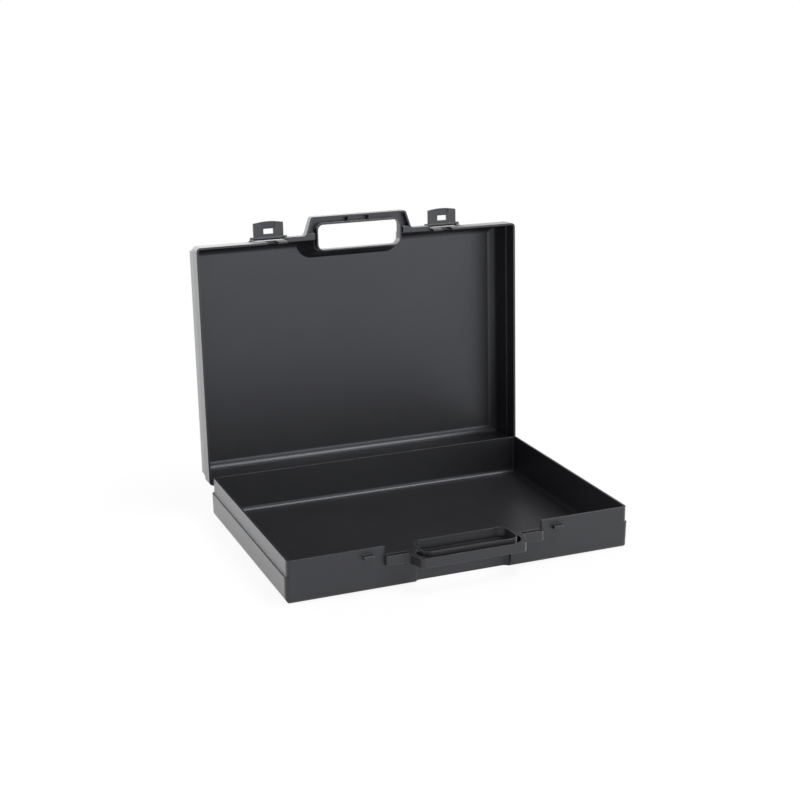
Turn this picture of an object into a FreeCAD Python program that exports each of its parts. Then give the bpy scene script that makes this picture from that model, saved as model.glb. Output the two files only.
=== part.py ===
"""Moulded carry case with an overlapping lid, standing open.

Frame: millimetres, X to the right, Y to the rear, Z up.
The origin is the middle of the base's underside, on the table.
Every lid piece is drawn on the closed case and then swung open.
"""
import FreeCAD, Part
import math
import os
from FreeCAD import Vector

# Driving dimensions: the two shells
case_width = 361.5        # base, outside, at its rim
case_depth = 252.0        # base, outside, at its rim
base_height = 43.8        # table to the base's rim
lid_height = 47.0         # lid rim to the lid's top
overlap = 17.0            # how far the closed lid's skirt covers the base
wall = 2.2                # wall of both shells
floor_thickness = 2.4     # base floor and lid top
fit_gap = 0.6             # between the base's upper band and the lid's skirt
seat_gap = 0.3            # closed lid above the base's rim and ledge
band_ledge = 1.8          # step under the base's upper band, sides and rear
lid_step = 1.2            # step behind the lid's skirt
base_draft = 0.4          # inset of the base's walls at the table
lid_draft = 1.5           # inset of the lid's side and rear walls at its top
lid_front_draft = 6.0     # inset of the lid's front wall at its top
cavity_draft = 0.6        # extra inset of the inner walls
corner_radius = 4.5       # upright corners, outside
base_edge_radius = 6.5    # base, bottom edge, sides and rear
base_front_radius = 4.0   # base, bottom edge, front
lid_edge_radius = 11.0    # lid, top edge, sides and hinge side
lid_front_radius = 9.0    # lid, top edge, handle side
least_radius = 1.5        # smallest inside rounding

# Driving dimensions: handle, its flange and the finger recess
flange_out = 5.4          # flange in front of the base's front wall
flange_low = 25.0         # underside of the base's flange
split_drop = 9.0          # base rim down to the split along the flange
lid_flange = 9.5          # thickness of the lid's flange
handle_out = 25.0         # handle bar in front of the base's front wall
handle_root_half = 61.0   # handle half width where it leaves the flange
handle_tip_half = 54.5    # handle half width at the bar
handle_tip_radius = 3.5
handle_root_radius = 4.0
flange_end_radius = 2.0
window_half = 47.2        # hand opening in the lid, half width
window_out = 16.0         # hand opening, in front of the base's front wall
window_in = 11.0          # hand opening, behind the base's front wall
window_radius = 6.0
lip_wall = 1.6            # lip round the lid's hand opening
collar_gap = 0.5          # lip of the lid's hand opening to the collar round it
collar_wall = 1.2
collar_height = 3.5       # collar above the split
recess_depth = 6.5        # finger recess behind the base's front wall
recess_half = 50.0        # finger recess, half width
recess_flare = 2.0        # recess widens towards the front
recess_radius = 6.0
scoop_side = 17.0         # lid's finger scoop, how much it widens up to the lid's top, each side
scoop_rear = 16.0         # the same, towards the rear
scoop_steps = 4           # straight lengths that make up the scoop's hollow curve
groove_width = 4.0        # groove in the base's bar, in front of the collar
groove_depth = 6.0        # that groove and the two in the flange beside the bar
channel_rib = 2.0         # skins left round the moulded channels
lid_channel_depth = 7.5
channel_rib_pitch = 24.0  # two cross ribs in the lid's handle channel
split_gap = 0.3           # between the two flanges when closed

# Driving dimensions: latches and catches
latch_x = 100.5           # latch centre to the case's middle
latch_width = 33.0
latch_length = 18.0       # pivot to the tip
latch_thickness = 2.6
latch_barrel_radius = 1.9
latch_out = 2.4           # pivot in front of the lid's skirt
latch_drop = 1.0          # pivot below the base's rim when closed
latch_tip_arch = 1.6      # tip stands this much further at its middle
latch_window_width = 11.2
latch_window_start = 4.8  # pivot to the near edge of the window
latch_window_end = 10.3   # pivot to the far edge of the window
latch_side_gap = 0.4
latch_turn = 90.0         # shut to standing out
ramp_depth = 1.9          # finger ramp cut into the tip
ramp_flare = 3.2          # ramp widens towards the tip, each side
latch_pin_radius = 0.8
latch_pin_grip = 3.2      # pin length inside each ear
ear_thickness = 3.4
ear_gusset = 6.0          # slope that props the ear
ear_bite = 1.0            # how far that prop runs into the ear
catch_width = 10.0
catch_out = 5.7           # catch in front of the base's front wall
catch_top = 6.2           # catch top below the base's rim
catch_height = 4.2
catch_bevel_out = 0.8     # bevel on the catch's upper edge
catch_bevel_drop = 1.0
catch_under_out = 0.4     # slope back under the catch's nose
catch_under_rise = 1.2
catch_round = 0.4         # rounding of the catch's nose
notch_gap = 0.9           # catch to the notch in the lid's skirt

# Driving dimensions: hinges
hinge_inset = 46.0        # outer hinges from the case's ends
hinge_out = 6.2           # hinge axis behind the base's rear wall
hinge_drop = 14.4         # hinge axis below the base's rim
knuckle_radius = 3.0
hinge_pin_radius = 1.25
lid_knuckle_width = 14.0
ear_width = 6.0
hinge_side_gap = 0.4
knuckle_web_rise = 9.0    # lid knuckle's web above the hinge axis
ear_root_height = 13.0    # where the hinge ears leave the rear wall
ear_heel_drop = 6.0       # lower end of the ear's rear face below the hinge axis
ear_heel_radius = 2.0
stop_edge_radius = 0.6
stop_reach = 6.5          # stop pad behind the hinge axis
stop_gap = 0.1            # open lid to the stop pad
skirt_relief = 0.6        # inner bevel of the lid's rear edge
skirt_relief_height = 4.0
open_angle = 92.3         # lid, closed to resting on its stop

# Fits
pin_press = 0.01          # pin to the hole that holds it, per side
pin_run = 0.06            # pin to the hole that turns on it, per side

# Modelling allowances
run_past = 1.0            # how far a cutting shape runs past the face that it cuts
shortest_edge = 1e-6      # anything shorter is left out of an outline
shortest_depth = 0.05     # depth at which a cut that runs out to nothing starts

# Places worked out from the sizes above
half_width = case_width / 2
flange_half = latch_x - latch_width / 2 - latch_side_gap
front_y = -case_depth / 2
rear_y = case_depth / 2
rim_z = base_height
ledge_z = rim_z - overlap
split_z = rim_z - split_drop
skirt_z = ledge_z + seat_gap
shoulder_z = rim_z + seat_gap
lid_top_z = skirt_z + lid_height
skirt_grow = fit_gap + wall
hinge_y = rear_y + hinge_out
hinge_z = rim_z - hinge_drop
hinge_point = Vector(0, hinge_y, hinge_z)
pivot_y = front_y - skirt_grow - latch_out
pivot_z = rim_z - latch_drop
window_front = front_y - window_out
window_rear = front_y + window_in
recess_rear = front_y + recess_depth
collar_inside = lip_wall + collar_gap
collar_outside = collar_inside + collar_wall
hinge_x = half_width - hinge_inset
lid_split_z = split_z + split_gap
lid_flange_z = lid_split_z + lid_flange
X_AXIS = Vector(1, 0, 0)


def rounded_wire(points, radii):
    """Closed wire through the points, each corner rounded by its radius."""
    count = len(points)
    edges = []
    corners = []
    for i in range(count):
        before, here, after = points[i - 1], points[i], points[(i + 1) % count]
        radius = radii[i]
        if radius <= 0:
            corners.append((here, here, here))
            continue
        back = (before - here).normalize()
        on = (after - here).normalize()
        half = back.getAngle(on) / 2
        reach = radius / math.tan(half)
        centre = here + (back + on).normalize() * (radius / math.sin(half))
        middle = centre + (here - centre).normalize() * radius
        corners.append((here + back * reach, middle, here + on * reach))
    for i in range(count):
        start, middle, end = corners[i]
        if (end - start).Length > shortest_edge:
            edges.append(Part.Arc(start, middle, end).toShape())
        following = corners[(i + 1) % count][0]
        if (following - end).Length > shortest_edge:
            edges.append(Part.LineSegment(end, following).toShape())
    return Part.Wire(edges)


def plan_prism(points, radii, low, high):
    """Upright prism of an XY outline."""
    wire = rounded_wire([Vector(x, y, low) for x, y in points], radii)
    return Part.Face(wire).extrude(Vector(0, 0, high - low))


def side_prism(points, radii, left, right):
    """Prism of a YZ outline, drawn along X."""
    wire = rounded_wire([Vector(left, y, z) for y, z in points], radii)
    return Part.Face(wire).extrude(Vector(right - left, 0, 0))


def rectangle(half, front, rear):
    return [(-half, front), (half, front), (half, rear), (-half, rear)]


def slab(left, right, front, rear, low, high):
    return Part.makeBox(right - left, rear - front, high - low, Vector(left, front, low))


def rod(radius, left, right, y, z):
    return Part.makeCylinder(radius, right - left, Vector(left, y, z), X_AXIS)


def moulded_block(half, front, rear, rim, face, draft, front_draft, edge_r, front_r, corner_r):
    """Drafted block, full size at its rim level, with its face edges and upright corners rounded."""
    section = [(-half, rim), (half, rim), (half - draft, face), (draft - half, face)]
    wire = rounded_wire([Vector(x, front - run_past, z) for x, z in section], [0, 0, edge_r, edge_r])
    length = Part.Face(wire).extrude(Vector(0, rear - front + 2 * run_past, 0))
    depth = side_prism([(front, rim), (rear, rim), (rear - draft, face), (front + front_draft, face)],
                       [0, 0, edge_r, front_r], -half - run_past, half + run_past)
    outlines = []
    for level, inset, front_inset in ((face, draft, front_draft), (rim, 0.0, 0.0)):
        ring = [Vector(x, y, level) for x, y in rectangle(half - inset, front + front_inset, rear - inset)]
        outlines.append(rounded_wire(ring, [corner_r] * 4))
    return length.common(depth).common(Part.makeLoft(outlines, True, True))


def inner_radius(outer):
    return max(outer - wall, least_radius)


def recess_prism(grow, low, high):
    """Finger recess in the base's front wall, grown by a wall for the skin behind it."""
    mouth = front_y - handle_out
    points = [(-recess_half - recess_flare - grow, mouth), (recess_half + recess_flare + grow, mouth),
              (recess_half + grow, recess_rear + grow), (-recess_half - grow, recess_rear + grow)]
    rounding = recess_radius + grow
    return plan_prism(points, [0, 0, rounding, rounding], low, high)


def lid_scoop(grow):
    """Finger scoop in the lid's front: a hollow that widens from the hand opening past the lid's top."""
    outlines = []
    for step in range(scoop_steps + 1):
        turn = math.pi / 2 * step / scoop_steps
        level = lid_flange_z + (lid_top_z + wall - lid_flange_z) * math.sin(turn)
        flare = (math.sin(turn) + 1 - math.cos(turn)) / 2
        half = window_half + grow + flare * scoop_side
        rear = window_rear + grow + flare * scoop_rear
        rounding = window_radius + flare * scoop_side
        ring = [Vector(x, y, level) for x, y in rectangle(half, front_y - handle_out, rear)]
        outlines.append(rounded_wire(ring, [0, 0, rounding, rounding]))
    return Part.makeLoft(outlines, True, True)


def flange_points(root):
    """Outline of the flange and the handle, from the wall forwards."""
    ledge = front_y - flange_out
    bar = front_y - handle_out
    return [(-flange_half, root), (-flange_half, ledge), (-handle_root_half, ledge),
            (-handle_tip_half, bar), (handle_tip_half, bar), (handle_root_half, ledge),
            (flange_half, ledge), (flange_half, root)]


def flange_prism(root, low, high):
    radii = [0, flange_end_radius, handle_root_radius, handle_tip_radius]
    return plan_prism(flange_points(root), radii + radii[::-1], low, high)


def handle_channel(low, high):
    """Space inside the handle's outline, a skin's thickness from its edges."""
    ledge = front_y - flange_out
    bar = front_y - handle_out
    points = [Vector(x, y, low) for x, y in ((-handle_root_half, ledge), (-handle_tip_half, bar),
                                             (handle_tip_half, bar), (handle_root_half, ledge))]
    wire = rounded_wire(points, [0, handle_tip_radius, handle_tip_radius, 0])
    return Part.Face(wire.makeOffset2D(-channel_rib)).extrude(Vector(0, 0, high - low))


def opening_prism(grow, low, high):
    """Prism of the lid's hand opening, grown by the given amount."""
    points = rectangle(window_half + grow, window_front - grow, window_rear + grow)
    return plan_prism(points, [window_radius + grow] * 4, low, high)


def both_sides(shape):
    """The shape and its mirror image across the case's middle."""
    return [shape, shape.mirror(Vector(0, 0, 0), X_AXIS)]


def hinge_centres():
    return [-hinge_x, 0.0, hinge_x]


def base_hinge_ears(centre):
    """Two ears with stop pads that carry one hinge pin."""
    low = ledge_z - hinge_side_gap
    lean = math.radians(open_angle - 90)
    skirt_reach = hinge_y - rear_y - skirt_grow - stop_gap

    def stop_level(reach):
        return hinge_z + skirt_reach / math.cos(lean) - reach * math.tan(lean)

    nose = hinge_y + stop_reach
    inner = rear_y - wall / 2
    outline = [(inner, ear_root_height), (rear_y + band_ledge, ear_root_height),
               (nose, hinge_z - ear_heel_drop), (nose, stop_level(stop_reach)),
               (hinge_y, stop_level(0.0)), (hinge_y - knuckle_radius, hinge_z),
               (hinge_y - knuckle_radius, low), (inner, low)]
    radii = [0, 0, ear_heel_radius, stop_edge_radius, 0, 0, 0, 0]
    ears = []
    for side in (-1, 1):
        near = lid_knuckle_width / 2 + hinge_side_gap
        left, right = sorted((side * near, side * (near + ear_width)))
        ends = (centre + left, centre + right)
        ear = side_prism(outline, radii, *ends).fuse(rod(knuckle_radius, *ends, hinge_y, hinge_z))
        ears.append(ear.cut(rod(hinge_pin_radius + pin_press, *ends, hinge_y, hinge_z)))
    return ears


def lid_knuckle(centre):
    """Lid barrel on the rear skirt, with the web that joins it to the skirt."""
    left = centre - lid_knuckle_width / 2
    right = centre + lid_knuckle_width / 2
    skin = rear_y + skirt_grow
    web_top = hinge_z + knuckle_web_rise
    outline = [(skin - wall / 2, skirt_z), (hinge_y, skirt_z), (hinge_y + knuckle_radius, hinge_z),
               (skin, web_top), (skin - wall / 2, web_top)]
    web = side_prism(outline, [0] * 5, left, right)
    return web.fuse(rod(knuckle_radius, left, right, hinge_y, hinge_z))


def catch_hook():
    """Catch on the base's front wall that the latch window drops over."""
    top = rim_z - catch_top
    low = top - catch_height
    nose = front_y - catch_out
    root = front_y + wall / 2
    outline = [(root, top), (nose + catch_bevel_out, top), (nose, top - catch_bevel_drop),
               (nose + catch_under_out, low + catch_under_rise), (front_y, low), (root, low)]
    radii = [0, catch_round, catch_round, catch_round, 0, 0]
    return side_prism(outline, radii, latch_x - catch_width / 2, latch_x + catch_width / 2)


def latch_ear():
    """Outer ear for the right latch's pin, standing on the lid's skirt with a prop beside it."""
    inside = latch_x + latch_width / 2 + latch_side_gap
    outside = inside + ear_thickness
    root = front_y - fit_gap - wall / 2
    reach = latch_barrel_radius
    spread = reach + latch_out
    outline = [(root, pivot_z - spread), (pivot_y, pivot_z - reach), (pivot_y, pivot_z + reach),
               (root, pivot_z + spread)]
    plate = side_prism(outline, [0] * 4, inside, outside)
    barrel = rod(reach, inside, outside, pivot_y, pivot_z)
    bite = outside - ear_bite
    prop = plan_prism([(bite, root), (bite, pivot_y + reach / 2), (outside + ear_gusset, root)],
                      [0] * 3, pivot_z - wall / 2, pivot_z + wall / 2)
    return plate.fuse([barrel, prop])


def build_base():
    lower = moulded_block(half_width + band_ledge, front_y, rear_y + band_ledge, ledge_z, 0.0, base_draft,
                          base_draft, base_edge_radius, base_front_radius, corner_radius)
    band = plan_prism(rectangle(half_width, front_y, rear_y), [corner_radius] * 4, ledge_z, rim_z)
    inner_draft = base_draft + cavity_draft
    cavity = moulded_block(half_width - wall, front_y + wall, rear_y - wall, rim_z + wall, floor_thickness,
                           inner_draft, inner_draft, inner_radius(base_edge_radius),
                           inner_radius(base_front_radius), inner_radius(corner_radius))
    cavity = cavity.cut(recess_prism(wall, -wall, rim_z + 2 * wall))
    lowered = slab(-flange_half, flange_half, front_y - wall, recess_rear + 2 * wall, split_z, rim_z + wall)
    shell = lower.fuse(band).cut(cavity).cut(lowered).cut(recess_prism(0.0, -wall, rim_z + wall))

    flange = flange_prism(front_y + wall / 2, flange_low, split_z)
    collar = opening_prism(collar_outside, flange_low, split_z + collar_height)
    groove = opening_prism(collar_outside + groove_width, split_z - groove_depth, split_z + wall)
    bar_y = front_y - handle_out
    groove = groove.common(slab(-half_width, half_width, bar_y, front_y - flange_out, 0, rim_z))
    pocket = opening_prism(collar_inside, flange_low + floor_thickness, rim_z)
    through = opening_prism(collar_inside, flange_low - wall, rim_z)
    through = through.common(slab(-half_width, half_width, bar_y, recess_rear, 0, rim_z))
    flange_groove = slab(handle_root_half, flange_half - channel_rib, front_y - flange_out + channel_rib,
                         front_y, split_z - groove_depth, rim_z)
    shell = shell.fuse(flange).cut([groove] + both_sides(flange_groove)).fuse(collar).cut([pocket, through])
    shell = shell.fuse(both_sides(catch_hook()))
    ears = [ear for centre in hinge_centres() for ear in base_hinge_ears(centre)]
    return shell.fuse(ears).removeSplitter()


def build_lid_closed():
    skirt = plan_prism(rectangle(half_width + skirt_grow, front_y - skirt_grow, rear_y + skirt_grow),
                       [corner_radius] * 4, skirt_z, shoulder_z)
    grow = skirt_grow - lid_step
    crown = moulded_block(half_width + grow, front_y - grow, rear_y + grow, shoulder_z, lid_top_z, lid_draft,
                          lid_front_draft, lid_edge_radius, lid_front_radius, corner_radius)
    skirt_room = plan_prism(rectangle(half_width + fit_gap, front_y - fit_gap, rear_y + fit_gap),
                            [corner_radius - wall] * 4, skirt_z - wall, shoulder_z)
    inset = grow - wall
    crown_room = moulded_block(half_width + inset, front_y - inset, rear_y + inset, shoulder_z - wall,
                               lid_top_z - floor_thickness, lid_draft + cavity_draft,
                               lid_front_draft + cavity_draft, inner_radius(lid_edge_radius),
                               inner_radius(lid_front_radius), inner_radius(corner_radius))
    room = skirt_room.fuse(crown_room).cut(lid_scoop(wall))
    lid = skirt.fuse(crown).cut(room)

    low = lid_split_z
    high = lid_flange_z
    half = flange_half + latch_side_gap
    lowered = slab(-half, half, front_y - skirt_grow - wall, window_rear + 2 * wall, skirt_z - wall, low)
    lid = lid.cut(lowered).cut(lid_scoop(0.0))
    flange = flange_prism(front_y - fit_gap - wall / 2, low, high)
    lip = opening_prism(lip_wall, low, high)
    channel = handle_channel(low - wall, low + lid_channel_depth).cut(lip)
    for side in (-1, 1):
        middle = side * channel_rib_pitch / 2
        channel = channel.cut(slab(middle - channel_rib / 2, middle + channel_rib / 2, front_y - handle_out,
                                   front_y, low, high))
    moat_top = split_z + collar_height + collar_gap
    moat = opening_prism(collar_outside + collar_gap, low - wall, moat_top).cut(lip)
    hole = opening_prism(0.0, low - wall, high + wall)
    lid = lid.fuse([flange, lip]).cut([channel, moat, hole])

    notch_half = catch_width / 2 + notch_gap
    notch = slab(latch_x - notch_half, latch_x + notch_half, front_y - skirt_grow - wall, front_y,
                 skirt_z - wall, rim_z - catch_top + notch_gap)
    relief_low = rear_y + fit_gap
    relief = side_prism([(relief_low - wall, skirt_z - wall), (relief_low + skirt_relief, skirt_z - wall),
                         (relief_low + skirt_relief, skirt_z), (relief_low, skirt_z + skirt_relief_height),
                         (relief_low - wall, skirt_z + skirt_relief_height)], [0] * 5,
                        -half_width - fit_gap, half_width + fit_gap)
    lid = lid.cut(both_sides(notch) + [relief])
    outer_ear = latch_ear()
    inner_ear = outer_ear.mirror(Vector(latch_x, 0, 0), X_AXIS)
    ears = both_sides(outer_ear) + both_sides(inner_ear)
    lid = lid.fuse(ears + [lid_knuckle(centre) for centre in hinge_centres()])
    reach = lid_knuckle_width / 2 + run_past
    bores = [rod(hinge_pin_radius + pin_run, centre - reach, centre + reach, hinge_y, hinge_z)
             for centre in hinge_centres()]
    pin = latch_pin_closed(pin_press)
    return lid.cut(bores + both_sides(pin)).removeSplitter()


def latch_pin_closed(gap=0.0):
    """Pin of the right latch, from ear to ear."""
    half = latch_width / 2 + latch_side_gap + latch_pin_grip + gap
    return rod(latch_pin_radius + gap, latch_x - half, latch_x + half, pivot_y, pivot_z)


def latch_ramp(back, tip_z):
    """Hollow that narrows from the latch's tip to its window, for a fingertip."""
    window_edge = pivot_z - latch_window_end
    outlines = []
    for level, half, depth in ((window_edge, latch_window_width / 2, shortest_depth),
                               (tip_z - run_past, latch_window_width / 2 + ramp_flare, ramp_depth)):
        corners = rectangle(half, back - depth, back + run_past)
        outlines.append(rounded_wire([Vector(latch_x + x, y, level) for x, y in corners], [0] * 4))
    return Part.makeLoft(outlines, True, True)


def latch_closed():
    """Right latch, hanging shut over its catch."""
    left = latch_x - latch_width / 2
    right = latch_x + latch_width / 2
    back = pivot_y + latch_thickness / 2
    tip_z = pivot_z - latch_length
    corner_z = tip_z + latch_tip_arch
    ends = [Vector(left, back, pivot_z), Vector(left, back, corner_z), Vector(latch_x, back, tip_z),
            Vector(right, back, corner_z), Vector(right, back, pivot_z)]
    edges = [Part.LineSegment(ends[0], ends[1]).toShape(), Part.Arc(ends[1], ends[2], ends[3]).toShape(),
             Part.LineSegment(ends[3], ends[4]).toShape(), Part.LineSegment(ends[4], ends[0]).toShape()]
    plate = Part.Face(Part.Wire(edges)).extrude(Vector(0, -latch_thickness, 0))
    barrel = rod(latch_barrel_radius, left, right, pivot_y, pivot_z)
    half = latch_window_width / 2
    window = slab(latch_x - half, latch_x + half, back - 2 * latch_thickness, back + latch_thickness,
                  pivot_z - latch_window_end, pivot_z - latch_window_start)
    bore = rod(latch_pin_radius + pin_run, left - run_past, right + run_past, pivot_y, pivot_z)
    return plate.fuse(barrel).cut([window, latch_ramp(back, tip_z), bore]).removeSplitter()


def swing_open(shape):
    opened = shape.copy()
    opened.rotate(hinge_point, X_AXIS, -open_angle)
    return opened


def stand_out(shape):
    turned = shape.copy()
    turned.rotate(Vector(0, pivot_y, pivot_z), X_AXIS, -latch_turn)
    return turned


def build_parts():
    parts = {"base_shell": build_base(), "lid_shell": swing_open(build_lid_closed())}
    right_latch, left_latch = both_sides(latch_closed())
    right_pin, left_pin = both_sides(latch_pin_closed())
    parts["latch_left"] = swing_open(stand_out(left_latch))
    parts["latch_right"] = swing_open(stand_out(right_latch))
    parts["latch_pin_left"] = swing_open(left_pin)
    parts["latch_pin_right"] = swing_open(right_pin)
    half = lid_knuckle_width / 2 + hinge_side_gap + ear_width
    for name, centre in zip(("left", "middle", "right"), hinge_centres()):
        parts["hinge_pin_" + name] = rod(hinge_pin_radius, centre - half, centre + half, hinge_y, hinge_z)
    return parts


os.makedirs("parts", exist_ok=True)
for node, shape in build_parts().items():
    shape.exportStep("parts/" + node + ".step")
    box = shape.BoundBox
    print(node, len(shape.Solids), "solid", round(shape.Volume / 1000, 1), "cm3",
          round(box.XLength, 1), round(box.YLength, 1), round(box.ZLength, 1), shape.isValid())
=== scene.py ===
"""Looks of the moulded carry case: satin black plastic, steel pins, white studio sweep."""
import math

import bpy
from mathutils import Matrix, Vector

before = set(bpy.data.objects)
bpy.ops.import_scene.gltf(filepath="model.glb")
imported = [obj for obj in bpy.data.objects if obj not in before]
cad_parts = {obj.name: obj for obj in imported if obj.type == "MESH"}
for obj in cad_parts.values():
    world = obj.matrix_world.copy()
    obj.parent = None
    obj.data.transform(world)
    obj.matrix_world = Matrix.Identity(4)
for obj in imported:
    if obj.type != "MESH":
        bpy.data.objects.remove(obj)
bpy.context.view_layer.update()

# Camera, as fitted to the photograph; sizes in metres, angles in degrees
CAMERA_AZIMUTH = -22.274
CAMERA_ELEVATION = 16.634
CAMERA_ROLL = -0.414
CAMERA_DISTANCE = 1.5687
CAMERA_AIM_RIGHT = -0.014736
CAMERA_AIM_UP = 0.137321
FOCAL_PIXELS = 1494.7
IMAGE_PIXELS = 800
SENSOR_WIDTH = 36.0

# Plastic: base colours are linear
MOULDED_DARK = (0.0115, 0.0115, 0.0136)
MOULDED_LIGHT = (0.0155, 0.0155, 0.0180)
LATCH_DARK = (0.0120, 0.0120, 0.0142)
LATCH_LIGHT = (0.0160, 0.0160, 0.0184)
TEXTURED = (0.0115, 0.0115, 0.0135)
# Paler edge colour: part wear, part painted highlight along the rims
PALE_EDGE_WEAR_AND_HIGHLIGHT = (0.060, 0.060, 0.064)
SPECULAR_LEVEL = 0.55
SPECULAR_TINT = (0.91, 0.93, 1.0)
SMOOTH_GLOSS = (0.32, 0.39)
LATCH_GLOSS = (0.30, 0.38)
TEXTURED_ROUGHNESS = 0.46
TEXTURED_SHEEN = 0.68
SHEEN_ROUGHNESS = 0.4

# Edges and relief of the plastic; lengths in metres, the turn of an edge painted paler (wear and painted
# highlight) as cosines
EDGE_ROUNDING = 0.0007
EDGE_SAMPLES = 6
EDGE_TURN = (0.88, 0.99)
LEAST_EDGE_WEAR_AND_HIGHLIGHT = 0.15
RELIEF_DEPTH = 0.00008
STREAK_RELIEF = 0.30
GRAIN_RELIEF = 0.28

# Distances out from the case's origin, in metres, over which faces go from smooth to textured
OUTSIDE_REACH = (0.10, 0.12)

# Steel of the pins
STEEL_DARK = (0.42, 0.42, 0.43)
STEEL_LIGHT = (0.6, 0.6, 0.61)
STEEL_GLOSS = (0.25, 0.4)

# Noise patterns: scale per metre, detail, and scale along each axis (below 1 draws the pattern out)
EVEN = (1, 1, 1)
PATTERNS = {
    "cloud": (14, 4, EVEN),
    # Patches of the paler edges, which are part wear, part painted highlight
    "wear_and_highlight_patches": (160, 3, EVEN),
    "gloss": (520, 4, (1, 1, 0.025)),
    "streak": (420, 3, (1, 1, 0.05)),
    "grain": (1100, 3, EVEN),
    "scratch": (900, 4, (0.05, 1, 1)),
}
NOISE_SPREAD = (0.3, 0.7)
# Spread of the patches on the paler edges (wear and painted highlight)
EDGE_WEAR_AND_HIGHLIGHT_SPREAD = (0.35, 0.65)

# Studio: light levels where 1 is white, sizes and places in metres
WHITE = (1, 1, 1, 1)
WORLD_LIGHT = 0.5
FLOOR_SIZE = 60
FLOOR_COLOUR = 0.86
FLOOR_GLOSSY_SHARE = 0.5
SHADOW_SHARE = 0.1
SHADOW_REACH = (0.5, 0.95)
SOFTBOXES = (
    {"name": "overhead", "size": (0.9, 0.7), "level": 8.5,
     "place": (0.5, -0.25, 1.5), "target": (0.1, 0, 0.1)},
    {"name": "back", "size": (2.6, 0.9), "level": 3.0,
     "place": (-0.5, 1.9, 0.6), "target": (0, 0, 0.15)},
    {"name": "left", "size": (1.2, 0.7), "level": 4.0,
     "place": (-1.3, 0.7, 0.4), "target": (0, 0, 0.1)},
    {"name": "front", "size": (2.4, 1.1), "level": 2.7,
     "place": (0.95, -2.4, 0.55), "target": (0, 0.15, 0.2)},
)


def aim_camera():
    angles = (CAMERA_AZIMUTH, CAMERA_ELEVATION, CAMERA_ROLL)
    azimuth, elevation, roll = (math.radians(angle) for angle in angles)
    back = Vector((math.sin(azimuth) * math.cos(elevation), -math.cos(azimuth) * math.cos(elevation),
                   math.sin(elevation)))
    level = Vector((math.cos(azimuth), math.sin(azimuth), 0))
    upright = back.cross(level)
    right = level * math.cos(roll) + upright * math.sin(roll)
    up = upright * math.cos(roll) - level * math.sin(roll)
    data = bpy.data.cameras.new("camera")
    data.sensor_width = SENSOR_WIDTH
    data.lens = FOCAL_PIXELS / IMAGE_PIXELS * SENSOR_WIDTH
    camera = bpy.data.objects.new("camera", data)
    place = right * CAMERA_AIM_RIGHT + up * CAMERA_AIM_UP + back * CAMERA_DISTANCE
    turn = Matrix((right, up, back)).transposed().to_4x4()
    camera.matrix_world = Matrix.Translation(place) @ turn
    bpy.context.scene.collection.objects.link(camera)
    bpy.context.scene.camera = camera


def grey(value):
    return (value, value, value)


class Nodes:
    """Short way to add and join shader nodes."""

    def __init__(self, name):
        self.material = bpy.data.materials.new(name)
        self.material.use_nodes = True
        self.tree = self.material.node_tree
        self.tree.nodes.clear()

    def add(self, kind, **values):
        node = self.tree.nodes.new("ShaderNode" + kind)
        for key, value in values.items():
            setattr(node, key, value)
        return node

    def join(self, source, output, target, socket):
        self.tree.links.new(source.outputs[output], target.inputs[socket])

    def surface(self, shader, output):
        self.join(shader, output, self.add("OutputMaterial"), "Surface")

    def noise(self, pattern):
        """One of the noise patterns, in object space."""
        scale, detail, axes = PATTERNS[pattern]
        place = self.add("TexCoord")
        mapping = self.add("Mapping")
        mapping.inputs["Scale"].default_value = axes
        noise = self.add("TexNoise")
        noise.inputs["Scale"].default_value = scale
        noise.inputs["Detail"].default_value = detail
        self.join(place, "Object", mapping, "Vector")
        self.join(mapping, "Vector", noise, "Vector")
        return noise

    def ramp(self, source, output, reach, first, last):
        """Colour that goes from the first to the last as the source crosses its reach."""
        ramp = self.add("ValToRGB")
        for element, position, colour in zip(ramp.color_ramp.elements, reach, (first, last)):
            element.position = position
            element.color = (*colour, 1)
        self.join(source, output, ramp, "Fac")
        return ramp

    def blend(self, mask, under, over):
        """Colour of a node with a plain colour laid over it where the mask is white."""
        mix = self.add("MixRGB")
        self.join(mask, 0, mix, "Fac")
        self.join(under, "Color", mix, "Color1")
        mix.inputs["Color2"].default_value = (*over, 1)
        return mix

    def combine(self, operation, first, second):
        """Result of an operation on two terms, each a (node, output) pair or a number."""
        node = self.add("Math", operation=operation)
        for socket, term in enumerate((first, second)):
            if isinstance(term, tuple):
                self.join(*term, node, socket)
            else:
                node.inputs[socket].default_value = term
        return node

    def bump(self, pattern, strength, below):
        bump = self.add("Bump")
        bump.inputs["Strength"].default_value = strength
        bump.inputs["Distance"].default_value = RELIEF_DEPTH
        self.join(self.noise(pattern), "Fac", bump, "Height")
        self.join(below, "Normal", bump, "Normal")
        return bump


def edge_wear_and_highlight_mask(n, rounded):
    """Mask that is white where an edge turns, broken up by noise: where wear and a painted highlight
    lighten the rims.
    """
    flat = n.add("NewGeometry")
    turn = n.add("VectorMath", operation="DOT_PRODUCT")
    n.join(rounded, "Normal", turn, 0)
    n.join(flat, "Normal", turn, 1)
    edge = n.ramp(turn, "Value", EDGE_TURN, grey(1), grey(0))
    patches = n.ramp(n.noise("wear_and_highlight_patches"), "Fac", EDGE_WEAR_AND_HIGHLIGHT_SPREAD, grey(LEAST_EDGE_WEAR_AND_HIGHLIGHT), grey(1))
    return n.combine("MULTIPLY", (edge, "Color"), (patches, "Color"))


def outside_faces(n):
    """Mask that is white on faces that look away from the case's middle."""
    place = n.add("TexCoord")
    away = n.add("VectorMath", operation="DOT_PRODUCT")
    n.join(place, "Object", away, 0)
    n.join(place, "Normal", away, 1)
    return n.ramp(away, "Value", OUTSIDE_REACH, grey(0), grey(1))


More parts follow.
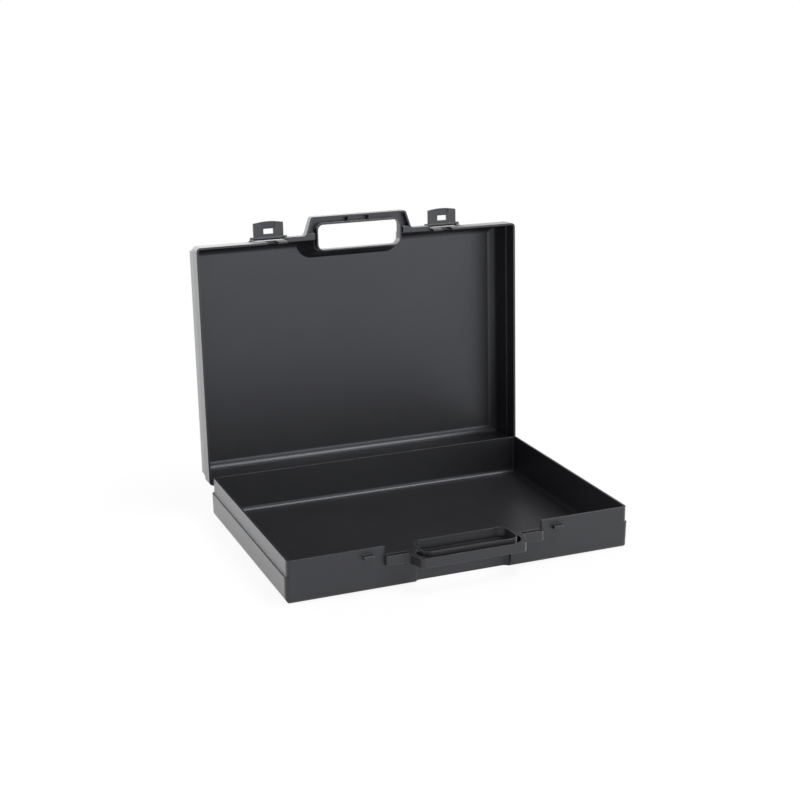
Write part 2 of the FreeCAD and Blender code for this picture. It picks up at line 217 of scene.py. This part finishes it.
def moulded_plastic(name, dark, light, gloss_range):
    """Black polypropylene: smooth and streaky inside, finely textured outside, paler along its edges,
    where wear and a painted highlight on the rims are laid as colour.
    """
    n = Nodes(name)
    shader = n.add("BsdfPrincipled")
    n.surface(shader, "BSDF")
    rounded = n.add("Bevel", samples=EDGE_SAMPLES)
    rounded.inputs["Radius"].default_value = EDGE_ROUNDING
    outside = outside_faces(n)

    cloud = n.ramp(n.noise("cloud"), "Fac", NOISE_SPREAD, dark, light)
    skin = n.blend(outside, cloud, TEXTURED)
    # Edges painted paler: part wear, part painted highlight along the rims
    colour = n.blend(edge_wear_and_highlight_mask(n, rounded), skin, PALE_EDGE_WEAR_AND_HIGHLIGHT)
    n.join(colour, "Color", shader, "Base Color")

    gloss = n.ramp(n.noise("gloss"), "Fac", NOISE_SPREAD, *(grey(level) for level in gloss_range))
    rough = n.blend(outside, gloss, grey(TEXTURED_ROUGHNESS))
    n.join(rough, "Color", shader, "Roughness")
    shader.inputs["Specular IOR Level"].default_value = SPECULAR_LEVEL
    shader.inputs["Specular Tint"].default_value = (*SPECULAR_TINT, 1)
    sheen = n.combine("MULTIPLY", (outside, "Color"), TEXTURED_SHEEN)
    n.join(sheen, "Value", shader, "Sheen Weight")
    shader.inputs["Sheen Roughness"].default_value = SHEEN_ROUGHNESS

    streaks = n.bump("streak", STREAK_RELIEF, rounded)
    grain = n.bump("grain", GRAIN_RELIEF, streaks)
    n.join(grain, "Normal", shader, "Normal")
    return n.material


def steel(name):
    """Drawn steel with fine scratches along the pin."""
    n = Nodes(name)
    shader = n.add("BsdfPrincipled")
    n.surface(shader, "BSDF")
    shader.inputs["Metallic"].default_value = 1.0
    scratch = n.noise("scratch")
    colour = n.ramp(scratch, "Fac", NOISE_SPREAD, STEEL_DARK, STEEL_LIGHT)
    rough = n.ramp(scratch, "Fac", NOISE_SPREAD, *(grey(level) for level in STEEL_GLOSS))
    n.join(colour, "Color", shader, "Base Color")
    n.join(rough, "Color", shader, "Roughness")
    return n.material


def dress(node, material):
    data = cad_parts[node].data
    data.materials.clear()
    data.materials.append(material)


def dress_case():
    shell = moulded_plastic("shell_plastic", MOULDED_DARK, MOULDED_LIGHT, SMOOTH_GLOSS)
    latch = moulded_plastic("latch_plastic", LATCH_DARK, LATCH_LIGHT, LATCH_GLOSS)
    pin = steel("pin_steel")
    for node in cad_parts:
        if "pin" in node:
            dress(node, pin)
        elif node.startswith("latch"):
            dress(node, latch)
        else:
            dress(node, shell)


def white_share(n):
    """How white the floor looks: fully far off, a little less in the shadow, partly in reflections."""
    path = n.add("LightPath")
    seen = n.combine("MAXIMUM", (path, "Is Camera Ray"), (path, "Is Transmission Ray"))
    place = n.add("TexCoord")
    far = n.add("VectorMath", operation="LENGTH")
    n.join(place, "Object", far, 0)
    clear = n.ramp(far, "Value", SHADOW_REACH, grey(1 - SHADOW_SHARE), grey(1))
    looked_at = n.combine("MULTIPLY", (seen, "Value"), (clear, "Color"))
    mirrored = n.combine("MULTIPLY", (path, "Is Glossy Ray"), FLOOR_GLOSSY_SHARE)
    return n.combine("MAXIMUM", (looked_at, "Value"), (mirrored, "Value"))


def lay_floor():
    """Pale floor that looks white, and still keeps a little of the shadow."""
    n = Nodes("studio_floor")
    plain = n.add("BsdfDiffuse")
    plain.inputs["Color"].default_value = (*grey(FLOOR_COLOUR), 1)
    white = n.add("Emission")
    white.inputs["Color"].default_value = WHITE
    white.inputs["Strength"].default_value = 1.0
    mix = n.add("MixShader")
    n.join(white_share(n), "Value", mix, "Fac")
    n.join(plain, "BSDF", mix, 1)
    n.join(white, "Emission", mix, 2)
    n.surface(mix, "Shader")
    bpy.ops.mesh.primitive_plane_add(size=FLOOR_SIZE, location=(0, 0, 0))
    floor = bpy.context.object
    floor.name = "studio_floor"
    floor.data.materials.append(n.material)


def light_world():
    """Even white light all round, which the camera sees as plain white."""
    world = bpy.data.worlds.new("studio")
    world.use_nodes = True
    bpy.context.scene.world = world
    nodes = world.node_tree.nodes
    links = world.node_tree.links
    path = nodes.new("ShaderNodeLightPath")
    level = nodes.new("ShaderNodeMapRange")
    level.inputs["To Min"].default_value = WORLD_LIGHT
    level.inputs["To Max"].default_value = 1.0
    background = nodes["Background"]
    background.inputs["Color"].default_value = WHITE
    links.new(path.outputs["Is Camera Ray"], level.inputs["Value"])
    links.new(level.outputs["Result"], background.inputs["Strength"])


def hang_softbox(name, size, level, place, target):
    """Rectangular lamp, hidden from the camera, whose face shines at the given level."""
    width, height = size
    data = bpy.data.lights.new(name, "AREA")
    data.shape = "RECTANGLE"
    data.size = width
    data.size_y = height
    data.energy = level * math.pi * width * height
    lamp = bpy.data.objects.new(name, data)
    lamp.location = place
    lamp.rotation_euler = (Vector(target) - Vector(place)).to_track_quat("-Z", "Y").to_euler()
    lamp.visible_camera = False
    bpy.context.scene.collection.objects.link(lamp)


def light_studio():
    light_world()
    for softbox in SOFTBOXES:
        hang_softbox(**softbox)


dress_case()
lay_floor()
light_studio()
aim_camera()
bpy.context.scene.view_settings.view_transform = "Standard"
